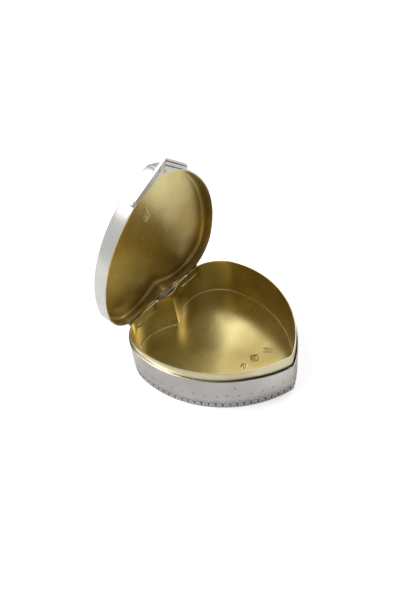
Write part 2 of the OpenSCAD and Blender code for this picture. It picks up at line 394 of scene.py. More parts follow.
# Painted light: the lid's silver is the same metal made brighter, standing in for the bright reflection on the
# lid.
lit_lid_silver = old_metal(
    "lit_lid_silver", bright=(0.9, 0.88, 0.85), patch=(0.8, 0.78, 0.76), dark=(0.06, 0.05, 0.045),
    smooth=0.2, dull=0.34
)
gilt = old_metal(
    "gilt", bright=(0.95, 0.82, 0.38), patch=(0.60, 0.46, 0.17), dark=(0.16, 0.07, 0.02),
    smooth=0.2, dull=0.35, patch_scale=38.0, bump=0.015
)
pale_gilt = old_metal(
    "pale_gilt", bright=(0.92, 0.86, 0.60), patch=(0.84, 0.74, 0.44), dark=(0.07, 0.045, 0.02),
    smooth=0.28, dull=0.4, patch_scale=90.0
)
tarnished = old_metal(
    "tarnished_silver", bright=(0.20, 0.16, 0.10), patch=(0.45, 0.38, 0.26), dark=(0.02, 0.016, 0.012),
    smooth=0.3, dull=0.5, patch_scale=400.0
)
print("finishes:", [material.name for material in bpy.data.materials])

# %% [markdown]
# ## Heights that the strips share
#
# The wall's top edge is level, except near the point, where it is filed down at a slope to take the thumb
# lip, and behind the hinge, where a round channel and a slanting stop are cut for the knuckles. The lid's
# edge is the same line seen from above. Both are functions of x and y, so any strip can ask for its height
# anywhere.

# %% Edges and cuts
WALL_H, WALL_T, FLOOR_T, LINING_T = 14.7, 0.8, 0.9, 0.5
RIM_GAP, LID_H, LID_DOME = 0.15, 5.5, 1.0
LID_WALL_T, LID_PLATE_T = 0.55, 0.6
LID_OPEN = np.radians(81.5)
HINGE_Y, HINGE_Z = HEART_LEN - 1.2, WALL_H - 0.25
KNUCKLE_R, PIN_R, PIN_PLAY, HINGE_GAP = 1.1, 0.5, 0.04, 0.15
CHANNEL_R = KNUCKLE_R + HINGE_GAP
HINGE_HALF = 20.0
STOP_SLOPE = np.tan(LID_OPEN / 2 + np.radians(1.2))
LIP_ROOT, LIP_SLOPE = 8.0, np.tan(np.radians(10))
LID_RIM, LID_TOP = WALL_H + RIM_GAP, WALL_H + RIM_GAP + LID_H
DOME_R = (HEART_LEN**2 / 4 + LID_DOME**2) / (2 * LID_DOME)


def cut_depth(x, y):
    """How far the hinge's room reaches from the hinge's height at (x, y), and whether it does. It is the
    round channel, or behind the hinge line the slanting stop where that reaches further."""
    back = y - HINGE_Y
    inside = (np.abs(x) < HINGE_HALF + HINGE_GAP) & (back > -CHANNEL_R)
    channel = np.sqrt(np.clip(CHANNEL_R**2 - back**2, 0, None))
    return np.maximum(channel, np.clip(back, 0, None) * STOP_SLOPE), inside


def wall_top(x, y):
    """Height of the base wall's edge."""
    depth, inside = cut_depth(x, y)
    edge = WALL_H - np.clip(LIP_ROOT - y, 0, None) * LIP_SLOPE
    return np.where(inside, np.minimum(edge, HINGE_Z - depth), edge)


def lid_edge(x, y):
    """Height of the closed lid's edge."""
    depth, inside = cut_depth(x, y)
    edge = LID_RIM - np.clip(LIP_ROOT - y, 0, None) * LIP_SLOPE
    return np.where(inside, np.maximum(edge, HINGE_Z + depth), edge)


def dome(x, y):
    """Height of the closed lid's shallow dome, a part of a very large ball."""
    from_middle = x**2 + (y - MIDDLE_Y) ** 2
    return LID_TOP + LID_DOME - DOME_R + np.sqrt(DOME_R**2 - from_middle)


def smooth_step(value, low, high):
    """0 below low, 1 above high, and an even S between them."""
    t = np.clip((value - low) / (high - low), 0, 1)
    return t * t * (3 - 2 * t)


def ripple(u, z, seed, size):
    """The slight unevenness of hand-worked sheet: a sum of waves that lean with the height."""
    draw = np.random.default_rng(seed)
    total = 0.0
    for count in (3, 5, 8, 13, 21, 34):
        phase, lean = draw.uniform(0, 2 * np.pi), draw.uniform(-0.3, 0.3)
        total = total + np.sin(np.pi * count * u + phase + lean * z) / count
    return size * total


print("wall edge at the point", round(float(wall_top(0.0, 0.0)), 2), "and behind the hinge",
      round(float(wall_top(13.0, HEART_LEN)), 2), "mm")

# %% [markdown]
# ## The base wall
#
# The outer strip carries the box's only ornament, cut by hand with a graver and a round punch: a row of
# small dots at half height, a fine line, and below it a border like blanket stitch, upright cuts joined by
# small arches. They could be drawn with a bump texture, but real cuts catch light at their edges and keep
# their shape from any side. So the wall's outer face is a fine grid, and each cut adds to its inset.

# %% Engraving as a depth
CUTS, DOTS = 76, 47
BORDER_H, ARCH_Z, LINE_Z, DOT_Z = 2.5, 1.9, 3.55, 6.8
ARCH_R, CUT_WIDTH, LINE_WIDTH, DOT_WIDTH = 0.92, 0.2, 0.1, 0.3
STRAY_DOT = (22.6, 11.0)


def groove(distance, width):
    """Depth from 0 to 1 of a round-bottomed groove, a bell curve of the distance from its middle."""
    return np.exp(-((distance / width) ** 2))


def engraving(u, z):
    """Depth from 0 to 1 of all the cuts at place u round the heart and height z."""
    pitch, dot_pitch = 2 * HALF_LEN / CUTS, 2 * HALF_LEN / DOTS
    draw = np.random.default_rng(11)
    tall, off = draw.uniform(-0.35, 0.25, CUTS), draw.uniform(-0.16, 0.16, CUTS)
    cell = np.floor(u / 2 * CUTS).astype(int) % CUTS
    across = (u / 2 * CUTS - np.floor(u / 2 * CUTS) - 0.5) * pitch + off[cell]
    cut_top = BORDER_H + tall[cell]
    upright = 1.2 * groove(across, CUT_WIDTH) * (1 - smooth_step(z, cut_top, cut_top + 0.3))
    from_arch = np.hypot(np.abs(across) - pitch / 2, (z - ARCH_Z) * 1.15) - ARCH_R
    arch = groove(from_arch, 0.17) * (z > ARCH_Z)
    bead = groove(np.hypot(np.abs(across) - pitch / 2, z - 1.0), 0.26)
    line = 0.6 * groove(z - LINE_Z - 0.06 * np.sin(u * 40), LINE_WIDTH)
    spot = np.floor(u / 2 * DOTS).astype(int) % DOTS
    high, aside = draw.uniform(-0.35, 0.35, DOTS), draw.uniform(-0.3, 0.3, DOTS)
    along = (u / 2 * DOTS - np.floor(u / 2 * DOTS) - 0.5) * dot_pitch + aside[spot]
    dot = groove(np.hypot(along, z - DOT_Z - high[spot]), DOT_WIDTH)
    stray = groove(np.hypot((u - 1) * HALF_LEN - STRAY_DOT[0], z - STRAY_DOT[1]), DOT_WIDTH)
    return np.clip(upright + arch + bead + line + dot + stray, 0, 1)


print("upright cuts:", CUTS, "dots:", DOTS)

# %% [markdown]
# The strip is one closed loop of rows: up the outer face, over the edge, down into the narrow gap beside the
# lining, and back under. The gap is widest near the point. On the outer face the rows lie close together
# only where there are cuts.

# %% The wall's strip
COLUMNS = 1440
CUT_DEPTH = 0.2
SLOT_MOST = 0.5

u = (np.arange(COLUMNS) / COLUMNS * 2)[None, :]
rows_z = np.concatenate([[0.0, 0.05, 0.18], np.arange(0.35, 3.35, 0.17), [3.4, 3.5, 3.6, 3.72, 3.95, 4.6],
                         np.arange(5.75, 7.95, 0.15), [8.3, 9.5, 10.5], np.arange(10.7, 11.8, 0.15)])[:, None]
rows_inset = np.concatenate([[0.18, 0.05], np.zeros(len(rows_z) - 2)])[:, None]
cut = engraving(u, rows_z)
outer_inset = rows_inset + np.clip(CUT_DEPTH * cut + ripple(u, rows_z, 3, 0.012) + 0.03, 0, None)
face_x, face_y = heart(u, outer_inset)

from_cleft = (1 - np.abs(1 - u)) * HALF_LEN
slot_growth = smooth_step(from_cleft, HALF_LEN - 38, HALF_LEN - 12)
slot = 0.1 + 0.06 * np.sin(9 * np.pi * u) + (SLOT_MOST - 0.1) * slot_growth
flat = np.ones_like(u)
rim_inset = np.concatenate([0.03 * flat, 0.05 * flat, 0.14 * flat, WALL_T - slot - 0.05, WALL_T - slot,
                            WALL_T * flat, WALL_T * flat])
rim_drop = np.array([0.5, 0.1, 0.0, 0.0, 0.08, 2.4, 20.0])[:, None]
rim_x, rim_y = heart(u, rim_inset)
rim_z = np.maximum(wall_top(rim_x, rim_y) - rim_drop, FLOOR_T)
rim_z[-1] = 0.0
# Painted shade: the rows that go down into the gap beside the lining are darkened. The cuts are darkened by
# their depth.
gap_painted_shade = np.array([0.0, 0.0, 0.0, 0.0, 0.6, 1.0, 1.0])[:, None] * flat

wall = grid(np.vstack([face_x, rim_x]), np.vstack([face_y, rim_y]),
            np.vstack([np.broadcast_to(rows_z, face_x.shape), rim_z]), wrap_rows=True,
            painted_darkness=np.vstack([cut, gap_painted_shade]))
piece("base_wall_strip", wall, "base", [silver], "silver", "base_wall")

# %% [markdown]
# ## The lining
#
# A thin gilt strip stands inside the wall and above it, and keeps the closed lid in place. Its top edge is
# highest at the front and falls in a long curve to the hinge. At the cleft its two halves meet in a ridge
# that is sharp at the floor, where its foot reaches further in, and round at the edge. Above the seats of
# the hinge the lining has to be straight, so there its curve is drawn back to a straight limit with a soft
# corner.

# %% The lining strip
LINING_FRONT, LINING_BACK = 18.4, 16.2
LINING_COLUMNS = 960
run = HINGE_Y - LOBE_Y * 0.6
fall = LINING_FRONT - LINING_BACK
CREST_Y = LOBE_Y * 0.6 - run * 0.15
CREST_R = (run**2 + fall**2) / (2 * fall) * 1.3
SEAT_FRONT, SEAT_BOTTOM = HINGE_Y - 1.8, 11.4
SOFT_CORNER = 0.3
FOOT_REACH, RIDGE_HALF = 0.85 * 1.15, 3.5


def lining_top(x, y):
    """Height of the lining's edge: level, then a large circle that falls towards the hinge."""
    past = np.clip(y - CREST_Y, 0, None)
    top = np.minimum(LINING_FRONT, LINING_FRONT + 0.05 - CREST_R + np.sqrt(CREST_R**2 - past**2))
    depth, inside = cut_depth(x, y)
    return np.where(inside, np.minimum(top, HINGE_Z - depth), top)


def ridge_foot(x, y, z):
    """y with the foot of the ridge at the cleft drawn into the box: most at the floor, and nothing above two
    thirds of the height."""
    near_cleft = np.exp(-((x / RIDGE_HALF) ** 2)) * (y > HEART_LEN / 2)
    return y - FOOT_REACH * near_cleft * (1 - smooth_step(z, -4.0, 11.0))


def ridge_ease(z):
    """How round the ridge is at each height: sharp at the floor, easing towards the edge, round above it."""
    return 0.3 + 0.5 * smooth_step(z, 2.0, WALL_H) + 1.5 * smooth_step(z, WALL_H - 0.2, LINING_BACK + 0.3)


def straightened(y, limit, amount):
    """Draws y back to a limit with a soft corner: takes off the log of one plus the exponential of the
    distance past the limit, both measured in soft corners."""
    return y - amount * SOFT_CORNER * np.log1p(np.exp((y - limit) / SOFT_CORNER))


u = (np.arange(LINING_COLUMNS) / LINING_COLUMNS * 2)[None, :]
outer, inner = WALL_T, WALL_T + LINING_T
lining_inset = np.array([outer, outer, outer, outer + 0.03, outer + 0.13, inner - 0.13, inner - 0.03,
                         *[inner] * 13])[:, None]
lining_share = np.array([0.0, 0.8, 0.9, 1.0, 1.0, 1.0, 1.0, 1.0, 0.96, 0.92, 0.86, 0.79, 0.73, 0.7, 0.68,
                         0.66, 0.6, 0.4, 0.2, 0.0])[:, None]
lining_drop = np.array([0, 0, 0, 0.1, 0, 0, 0.1, 0.3, *[0] * 12])[:, None]
inset = lining_inset + ripple(u, 6 * lining_share, 5, 0.02) * (lining_share > 0)
rough_z = FLOOR_T + (LINING_BACK + 0.2 - FLOOR_T) * lining_share
flat_x, flat_y = heart(u, inset, np.where(np.abs(1 - u) > 0.5, ridge_ease(rough_z), 0.5))
z = FLOOR_T + (lining_top(flat_x, flat_y) - FLOOR_T) * lining_share - lining_drop
# Painted shade: the lining's foot, where it meets the floor, is darkened.
dark = 0.12 * np.ones_like(z) * (lining_share < 0.15)
limit = SEAT_FRONT - 0.02 + (inner - lining_inset)
above_seat = smooth_step(z, SEAT_BOTTOM - 0.6, SEAT_BOTTOM)
lining_y = straightened(ridge_foot(flat_x, flat_y, z), limit, above_seat)
lining = grid(flat_x, lining_y, z, wrap_rows=True, painted_darkness=dark, others=(slice(0, 6),))
piece("lining_strip", lining, "base", [gilt, pale_gilt], "gilt", "bezel")

# %% [markdown]
# ## The floor
#
# The bottom sheet is gilt on top. Where it meets the lining there is a bead of solder all the way round,
# and towards the point three small plain punches were struck. The real ones are marks; here they are two
# ovals and a turned square with nothing in them. The sheet is a grid whose rows shrink from the outline to a
# point in the middle, down one side and up the other, so it is one closed skin.

# %% The floor sheet
FLOOR_COLUMNS = 960
FLOOR_MIDDLE = (0.0, 33.0)
BEAD_AT, BEAD_R = WALL_T + LINING_T + 0.16, 0.38


def towards_middle(u, share, inset, middle, soft=0.6):
    """Points between the middle (share 0) and the heart set in by inset (share 1)."""
    x, y = heart(u, inset, soft)
    return middle[0] + (x - middle[0]) * share, middle[1] + (y - middle[1]) * share


def punch(x, y, centre, size, turn, power, depth):
    """Height change of a struck mark: a sunk field with a raised rim. power 1 is a lozenge, 2 an oval, 8
    nearly a square. The distance is the root of |a| to the power plus |b| to the power, on turned axes."""
    a = ((x - centre[0]) * np.cos(turn) + (y - centre[1]) * np.sin(turn)) / size[0]
    b = (-(x - centre[0]) * np.sin(turn) + (y - centre[1]) * np.cos(turn)) / size[1]
    reach = (np.abs(a) ** power + np.abs(b) ** power) ** (1 / power)
    rim = groove(reach - 1.0, 0.16)
    field = 1 - smooth_step(reach, 0.75, 1.0)
    middle = groove(reach, 0.35)
    return depth * (0.7 * rim - field + 0.9 * middle), field * (1 - middle)


MARKS = [((-2.4, 20.9), (1.15, 0.9), 0.3, 2, 0.18), ((3.2, 19.7), (1.3, 1.3), 0.75, 8, 0.2),
         ((8.9, 18.6), (1.1, 0.8), 0.2, 2, 0.18)]

u = (np.arange(FLOOR_COLUMNS) / FLOOR_COLUMNS * 2)[None, :]
bead_steps = np.arange(BEAD_AT - 0.36, BEAD_AT + 0.42, 0.07)
bead_inset = np.concatenate([[WALL_T, 0.95], bead_steps, [2.0, 2.4]])[:, None]
bead_x, bead_y = heart(u, bead_inset, 0.45)
bead_lift = np.sqrt(np.clip(BEAD_R**2 - (bead_inset - BEAD_AT) ** 2, 0, None))
bead_z = FLOOR_T + bead_lift * (1 + 0.15 * np.sin(60 * u) * np.sin(17 * u))
share = np.concatenate([[0.97, 0.92, 0.85, 0.77, 0.7, 0.64], np.arange(0.6, 0.34, -0.0075),
                        [0.31, 0.26, 0.2, 0.13, 0.06]])[:, None]
sheet_x, sheet_y = towards_middle(u, share, 2.4, FLOOR_MIDDLE)
sheet_z = FLOOR_T + 0.06 * np.sin(sheet_x * 0.11 + 0.7) * np.sin(sheet_y * 0.13)
sheet_dark = np.zeros_like(sheet_z)
for centre, size, turn, power, depth in MARKS:
    lift, sunk_field = punch(sheet_x, sheet_y, centre, size, turn, power, depth)
    sheet_z = sheet_z + lift
    sheet_dark = np.maximum(sheet_dark, 0.1 * sunk_field)
x = np.vstack([bead_x, sheet_x])[::-1]
y = ridge_foot(x, np.vstack([bead_y, sheet_y])[::-1], FLOOR_T)
z = np.vstack([bead_z, sheet_z])[::-1]
# Painted shade: the bead's side towards the lining is darkened. The punched fields are a little darker.
dark = np.vstack([0.5 * (bead_inset < BEAD_AT - 0.1) * np.ones_like(bead_x), sheet_dark])[::-1]
bottom_inset = np.array([[WALL_T], [WALL_T + 0.2], [3.0]])
bottom_x, bottom_y = heart(u, bottom_inset, 0.6)
bottom_z = np.broadcast_to([[0.2], [0.0], [0.0]], bottom_x.shape)
# Painted highlight: the bead wears the paler gilt, so that it shows as a bright line.
floor_sheet = grid(np.vstack([x, bottom_x]), np.vstack([y, bottom_y]), np.vstack([z, bottom_z]),
                   first_pole=(*FLOOR_MIDDLE, float(z[0].mean())), last_pole=(*FLOOR_MIDDLE, 0.0),
                   painted_darkness=np.vstack([dark, np.zeros_like(bottom_x)]),
                   others=(slice(len(share) + 2, len(share) + len(bead_inset) - 3), slice(-3, None)))
piece("floor_sheet", floor_sheet, "base", [gilt, pale_gilt, silver], "gilt", "base_floor")

# %% [markdown]
# ## The seats of the hinge
#
# Behind the heart's two round lobes the hinge has to be straight, so a straight ledge is soldered into the
# back of each lobe. Seen from inside it is a flat strip with a line along its lower edge; here the lining is
# drawn straight in front of the ledge and makes that strip. The ledge is a profile carried along the hinge:
# the front face and the top are straight, and the back follows the lobe.

# %% Two hinge seats
SEAT_COLUMNS = 90
SEAT_FROM, SEAT_TO = 4.9, 20.4


def lobe_back(x, inset):
    """How far back the heart set in by inset reaches at distance x from the middle."""
    slope_y = heart(0.0, inset, 0.0)[1] + np.tan(CLEFT_SLOPE) * x
    start_x = LOBE_X + (LOBE_R - inset) * np.cos(LOBE_START)
    lobe_y = LOBE_Y + np.sqrt(np.clip((LOBE_R - inset) ** 2 - (x - LOBE_X) ** 2, 0, None))
    return np.where(x < start_x, slope_y, lobe_y)


def hinge_seat(side):
    """One seat: twelve points of a profile and its foot, at each of many places along the hinge."""
    back_inset = WALL_T + LINING_T - 0.2
    along = np.linspace(SEAT_FROM, SEAT_TO, SEAT_COLUMNS)
    back = np.maximum(lobe_back(along, back_inset), SEAT_FRONT + 0.02)[None, :]
    top = lining_top(np.zeros(1), np.array([SEAT_FRONT]))[0] - 0.05
    set_back = np.array([0.44, 0.34, 0.3, 0.3, 0.31, 0.34, 0.4, 0.5, 0.52, 0.9, 1.6, 2.2])[:, None]
    profile_y = SEAT_FRONT + set_back
    channel = HINGE_Z - np.sqrt(np.clip(CHANNEL_R**2 - (profile_y[8:] - HINGE_Y) ** 2, 0, None))
    low_part = SEAT_BOTTOM + np.array([0.2, 0.3, 0.5])
    high_part = top - np.array([0.25, 0.06, 0.0, 0.0, 0.1])
    profile_z = np.concatenate([low_part, high_part, channel.ravel()])[:, None]
    y = np.minimum(profile_y, back - 0.001 * np.arange(len(profile_y))[::-1, None])
    x = side * np.broadcast_to(along[None, :], y.shape)
    z = np.broadcast_to(profile_z, y.shape)
    foot_z = np.full_like(back, SEAT_BOTTOM + 0.2)
    x, y, z = np.vstack([x, x[:1]]), np.vstack([y, back]), np.vstack([z, foot_z])
    dark = np.zeros_like(y)
    # Painted shade: the channel under the knuckles and the back of the seat are darkened.
    dark[8:] = 0.8
    x, y, z, dark = (part.T if side > 0 else part.T[::-1] for part in (x, y, z, dark))
    ends = [(float(x[row].mean()), float(y[row].mean()), float(z[row].mean())) for row in (0, -1)]
    return grid(x, y, z, first_pole=ends[0], last_pole=ends[1], painted_darkness=dark)


piece("hinge_seat_strip_left", hinge_seat(-1), "base", [gilt], "gilt", "hinge_seat_left")
piece("hinge_seat_strip_right", hinge_seat(1), "base", [gilt], "gilt", "hinge_seat_right")

# %% [markdown]
# ## Knuckles and pin
#
# The hinge's tubes are drawn from sheet and cut square, then the ends are eased with a stone. Two gilt ones
# belong to the base and three dark ones to the lid. A turned surface fits: the profile of a tube's wall,
# with rounded corners, swept round the hinge line.

# %% Turned tubes
SIDES = 64


def turned_tube(radii, places):
    """Sweeps a closed profile round the hinge line. radii and places go round the tube's wall once."""
    angle = np.arange(SIDES)[None, :] / SIDES * 2 * np.pi
    radii, places = np.array(radii)[:, None], np.array(places)[:, None]
    x = np.broadcast_to(places, (len(places), SIDES))
    return grid(x, HINGE_Y + radii * np.cos(angle), HINGE_Z + radii * np.sin(angle), wrap_rows=True)


def knuckle(start, end, bore):
    """A tube from start to end with half a gap at each end, eased corners and faint drawing rings."""
    a, b, ease = start + HINGE_GAP / 2, end - HINGE_GAP / 2, 0.08
    middle = np.linspace(a + ease, b - ease, 9)
    outside = KNUCKLE_R - 0.006 * (np.arange(9) % 2)
    radii = [bore, bore + 0.04, KNUCKLE_R - ease, KNUCKLE_R - 0.02, *outside, KNUCKLE_R - 0.02,
             KNUCKLE_R - ease, bore + 0.04, bore]
    places = [a + 0.04, a, a, a + 0.03, *middle, b - 0.03, b, b, b - 0.04]
    return turned_tube(radii, places)


KNUCKLE_IN, KNUCKLE_OUT, END = 4.35, 13.3, HINGE_HALF + HINGE_GAP / 2
KNUCKLES = [("lid_knuckle_tube_left", -END, -KNUCKLE_OUT, "lid"),
            ("base_knuckle_tube_left", -KNUCKLE_OUT, -KNUCKLE_IN, "base"),
            ("lid_knuckle_tube_middle", -KNUCKLE_IN, KNUCKLE_IN, "lid"),
            ("base_knuckle_tube_right", KNUCKLE_IN, KNUCKLE_OUT, "base"),
            ("lid_knuckle_tube_right", KNUCKLE_OUT, END, "lid")]
for name, start, end, body in KNUCKLES:
    bore = PIN_R + (PIN_PLAY if body == "base" else 0.0)
    finish, slot_name = (pale_gilt, "gilt") if body == "base" else (tarnished, "tarnished_silver")
    piece(name, knuckle(start, end, bore), body, [finish], slot_name, name.replace("_tube", ""))

angle = np.arange(32)[None, :] / 32 * 2 * np.pi
pin_r = np.array([0.2, 0.4, 0.48, PIN_R, PIN_R, 0.48, 0.4, 0.2])[:, None]
pin_x = np.array([-19.99, -19.94, -19.85, -19.7, 19.7, 19.85, 19.94, 19.99])[:, None]
pin = grid(np.broadcast_to(pin_x, (8, 32)), HINGE_Y + pin_r * np.cos(angle), HINGE_Z + pin_r * np.sin(angle),
           first_pole=(-20.0, HINGE_Y, HINGE_Z), last_pole=(20.0, HINGE_Y, HINGE_Z))
piece("hinge_pin_rod", pin, "lid", [tarnished], "tarnished_silver", "hinge_pin")

# %% [markdown]
# ## The lid
#
# The lid is a shallow tray: a plain band round the heart, and a sheet with the slightest dome. It is worked
# out closed, where its heights are simple, and then turned about the hinge line. Inside, band and sheet
# meet in a rounded cove of solder that shows as a bright line.

# %% The lid's band
LID_COLUMNS = 960
STRIP_FRONT = HINGE_Y - 0.65
u = (np.arange(LID_COLUMNS) / LID_COLUMNS * 2)[None, :]
band_inset = np.array([0.45, 0.12, 0.03, 0.0, 0.0, 0.0, 0.0, 0.03, 0.12, 0.3,
                       *[LID_WALL_T] * 4])[:, None]
band_share = np.array([0.0, 0.0, 0.0, 0.0, 0.33, 0.67, 1.0, 1.0, 1.0, 1.0, 1.0, 0.8, 0.4, 0.0])[:, None]
band_lift = np.array([0.0, 0.0, 0.06, 0.2, 0, 0, -0.35, -0.16, -0.04, 0.0, 0.0, 0, 0, 0.1])[:, None]
inset = band_inset + np.clip(ripple(u, 5 * band_share, 9, 0.012) + 0.02, 0, None) * (band_inset < 0.2)
nose = 0.3 + 2.2 * smooth_step(-band_share, -0.75, 0.0) * (np.abs(1 - u) > 0.5)
x, y = heart(u, inset, nose)
edge = lid_edge(x, y)
z = edge + (dome(x, y) - edge) * band_share + band_lift
# Painted shade: the band's inner wall is darkened.
dark = 0.5 * np.ones_like(x) * (band_inset > 0.5) * (band_share > 0)
y = np.where(band_inset > 0.5, straightened(y, STRIP_FRONT, 1 - smooth_step(band_share, 0.1, 1.0)), y)
lid_band = grid(x, y, z, wrap_rows=True, painted_darkness=dark, others=(slice(10, 14),))
piece("lid_band", lid_band, "lid", [lit_lid_silver, gilt], "silver", "lid_wall")

# %% [markdown]
# The sheet is a closed skin like the floor's: over the outside from the middle, round the rim, through the
# cove, and back to the middle inside. The outside is silver and the inside gilt. One plain lozenge is
# punched inside.

# %% The lid's sheet
COVE_R = 1.3
LID_MARK = ((-1.8, 22.3), (1.5, 2.1), 0.15, 1, 0.14)
quarter = np.linspace(0, np.pi / 2, 9)[:, None]
cove_inset = LID_WALL_T + COVE_R * (1 - np.cos(quarter))
cove_drop = LID_PLATE_T + COVE_R * (1 - np.sin(quarter))
share = np.concatenate([[0.97, 0.92, 0.84, 0.74, 0.64, 0.54, 0.47], np.arange(0.43, 0.25, -0.006),
                        [0.22, 0.15, 0.07]])[:, None]
cove_x, cove_y = heart(u, cove_inset, 0.35)
inside_x, inside_y = towards_middle(u, share, LID_WALL_T + COVE_R, FLOOR_MIDDLE)
x = np.vstack([cove_x, inside_x])
y = np.vstack([cove_y, inside_y])
drop = np.vstack([np.broadcast_to(cove_drop, cove_x.shape), np.full_like(inside_x, LID_PLATE_T)])
lift, sunk_field = punch(x, y, *LID_MARK)
z = dome(x, y) - drop - lift
top_share = np.array([0.06, 0.2, 0.4, 0.6, 0.8, 0.92])[:, None]
over_x, over_y = towards_middle(u, top_share, 0.9, FLOOR_MIDDLE)
rim_x, rim_y = heart(u, np.array([[0.9], [LID_WALL_T]]), 0.6)
out_x, out_y = np.vstack([over_x, rim_x]), np.vstack([over_y, rim_y])
lid_sheet = grid(np.vstack([out_x, x]), np.vstack([out_y, y]), np.vstack([dome(out_x, out_y), z]),
                 first_pole=(*FLOOR_MIDDLE, float(dome(0.0, FLOOR_MIDDLE[1]))),
                 last_pole=(*FLOOR_MIDDLE, float(dome(0.0, FLOOR_MIDDLE[1]) - LID_PLATE_T)),
                 painted_darkness=np.vstack([np.zeros_like(out_x), 0.25 * sunk_field]), others=(slice(0, len(out_x)),))
piece("lid_sheet", lid_sheet, "lid", [gilt, lit_lid_silver], "gilt", "lid_plate")

# %% [markdown]
# ## The strip that carries the lid's knuckles
#
# A straight strip crosses the back of the lid behind the cleft. Its edge is notched round the base's
# knuckles. It could be a cut sheet with thickness, but its lower edge follows the round knuckles, so a
# profile is worked out at each place along the hinge instead.

# %% The lid's hinge strip
STRIP_T = 0.6
along = np.concatenate([[-HINGE_HALF, -19.9], np.linspace(-19.6, -13.45, 12), [-13.3, -13.25],
                        np.linspace(-13.1, -4.5, 16), [-4.4, -4.3], np.linspace(-4.1, 4.1, 16), [4.3, 4.4],
                        np.linspace(4.5, 13.1, 16), [13.25, 13.3], np.linspace(13.45, 19.6, 12),
                        [19.9, HINGE_HALF]])
over_base = (np.abs(along) > KNUCKLE_IN) & (np.abs(along) < KNUCKLE_OUT - 0.02)
low_r = np.where(over_base, CHANNEL_R, KNUCKLE_R - 0.05)
back_y = np.maximum(lobe_back(np.abs(along), LID_WALL_T), STRIP_FRONT + 0.2)[None, :] + 0.1
sweep = np.array([0.0, 0.15, 0.4, 0.7, 1.0])[:, None]
front_y = np.full((2, len(along)), STRIP_FRONT)
swept_y = STRIP_FRONT + (back_y - STRIP_FRONT) * sweep**2
under_y = STRIP_FRONT + np.array([STRIP_T, 0.45, 0.15, 0.05])[:, None] + 0 * back_y
strip_y = np.vstack([front_y, swept_y, np.maximum(back_y, STRIP_FRONT + STRIP_T), under_y])
low = HINGE_Z + np.sqrt(np.clip(low_r[None, :] ** 2 - (strip_y - HINGE_Y) ** 2, 0, None))
height = np.array([0.05, 0.35, 0.5, 0.9, 1.35, 1.75, 2.1])[:, None] + HINGE_Z + CHANNEL_R - 0.2
strip_z = np.vstack([height + 0 * back_y, low[7:8] + 0.6, low[8:]])
strip_z[:2] = np.maximum(strip_z[:2], low[:2] + np.array([[0.04], [0.2]]))
strip_x = np.broadcast_to(along[None, :], strip_z.shape)
middle = [(float(side), STRIP_FRONT + 0.3, HINGE_Z + CHANNEL_R) for side in (-HINGE_HALF, HINGE_HALF)]
strip = grid(strip_x.T, strip_y.T, strip_z.T, first_pole=middle[0], last_pole=middle[1],
             others=((slice(None), slice(6, None)),))
piece("lid_hinge_strip", strip, "lid", [gilt, lit_lid_silver], "gilt", "lid_hinge_seat")

# %% [markdown]
# ## The thumb lip
#
# Round the heart's point the lid has a V-shaped lip to push up with the thumb. Its underside is worked as
# three bands with two grooves between them, which run parallel to the outer edge and meet in a mitre at the
# point.

# %% The lip
LIP_REACH, LIP_HALF, LIP_CORNER, LIP_T = 6.5, 12.5, 3.9, 0.9
LIP_COLUMNS, LIP_ROWS = 220, 44
LIP_RISE = (LIP_CORNER + LIP_REACH) / LIP_HALF
GROOVES = (0.9, 2.3)
MITRE_WIDTH, LIP_GROOVE_WIDTH, LIP_DOT_WIDTH = 0.12, 0.17, 0.28
LIP_DOTS = [(-2.4, -2.6), (0.8, -0.4), (2.5, -1.35), (4.3, 0.4)]


def side_front(x):
    """How far forward the heart's long side reaches at distance x from the middle."""
    return SIDE_Y - np.sqrt(SIDE_R**2 - (np.abs(x) - SIDE_X) ** 2)


def lip_depth(x, y):
    """Depth from 0 to 1 of the grooves, the mitre and the dots on the lip's underside."""
    from_edge = (y + LIP_REACH - LIP_RISE * np.abs(x)) / np.hypot(1, LIP_RISE)
    depth = groove(x, MITRE_WIDTH) * 0.5
    for at in GROOVES:
        depth = np.maximum(depth, groove(from_edge - at, LIP_GROOVE_WIDTH))
    for dot_x, dot_y in LIP_DOTS:
        depth = np.maximum(depth, groove(np.hypot(x - dot_x, y - dot_y), LIP_DOT_WIDTH))
    return depth


across = np.linspace(-1, 1, LIP_COLUMNS)[:, None] * LIP_HALF
step = np.linspace(0, 1, LIP_ROWS)[None, :]
outer_y = LIP_RISE * np.abs(across) - LIP_REACH
inner_y = side_front(across) + 0.02
lip_x = np.broadcast_to(across, (LIP_COLUMNS, LIP_ROWS))
lip_y = outer_y + (inner_y - outer_y) * step
depth = lip_depth(lip_x, lip_y)
seat_z = LID_RIM - (LIP_ROOT - lip_y) * LIP_SLOPE
rounding = 0.14 * groove(step, 0.03)
under_z = seat_z + 0.22 * depth + rounding
over_z = seat_z + LIP_T - rounding
x = np.hstack([lip_x, lip_x[:, ::-1]])
y = np.hstack([lip_y, lip_y[:, ::-1]])
z = np.hstack([under_z, over_z[:, ::-1]])
# Painted shade: the grooves, the mitre and the dots on the underside are darkened by their depth.
painted_darkness = np.hstack([depth, 0 * depth])
ends = [(float(x[row].mean()), float(y[row].mean()), float(z[row].mean())) for row in (0, -1)]
lip = grid(x, y, z, first_pole=ends[0], last_pole=ends[1], painted_darkness=painted_darkness)
piece("thumb_lip_plate", lip, "lid", [lit_lid_silver], "silver", "thumb_lip")

# %% [markdown]
# A small curl ends each arm of the lip. It could be modelled as a strip rolled up, but at this size a disc
# with a spiral groove in both faces looks the same and stays a clean closed skin.

# %% The scrolls at its ends
SCROLL_R, SMALL_SCROLL_R = 0.9, 0.6
SCROLL_H, SCROLL_Y = LIP_T + 0.3, LIP_CORNER + 1.6


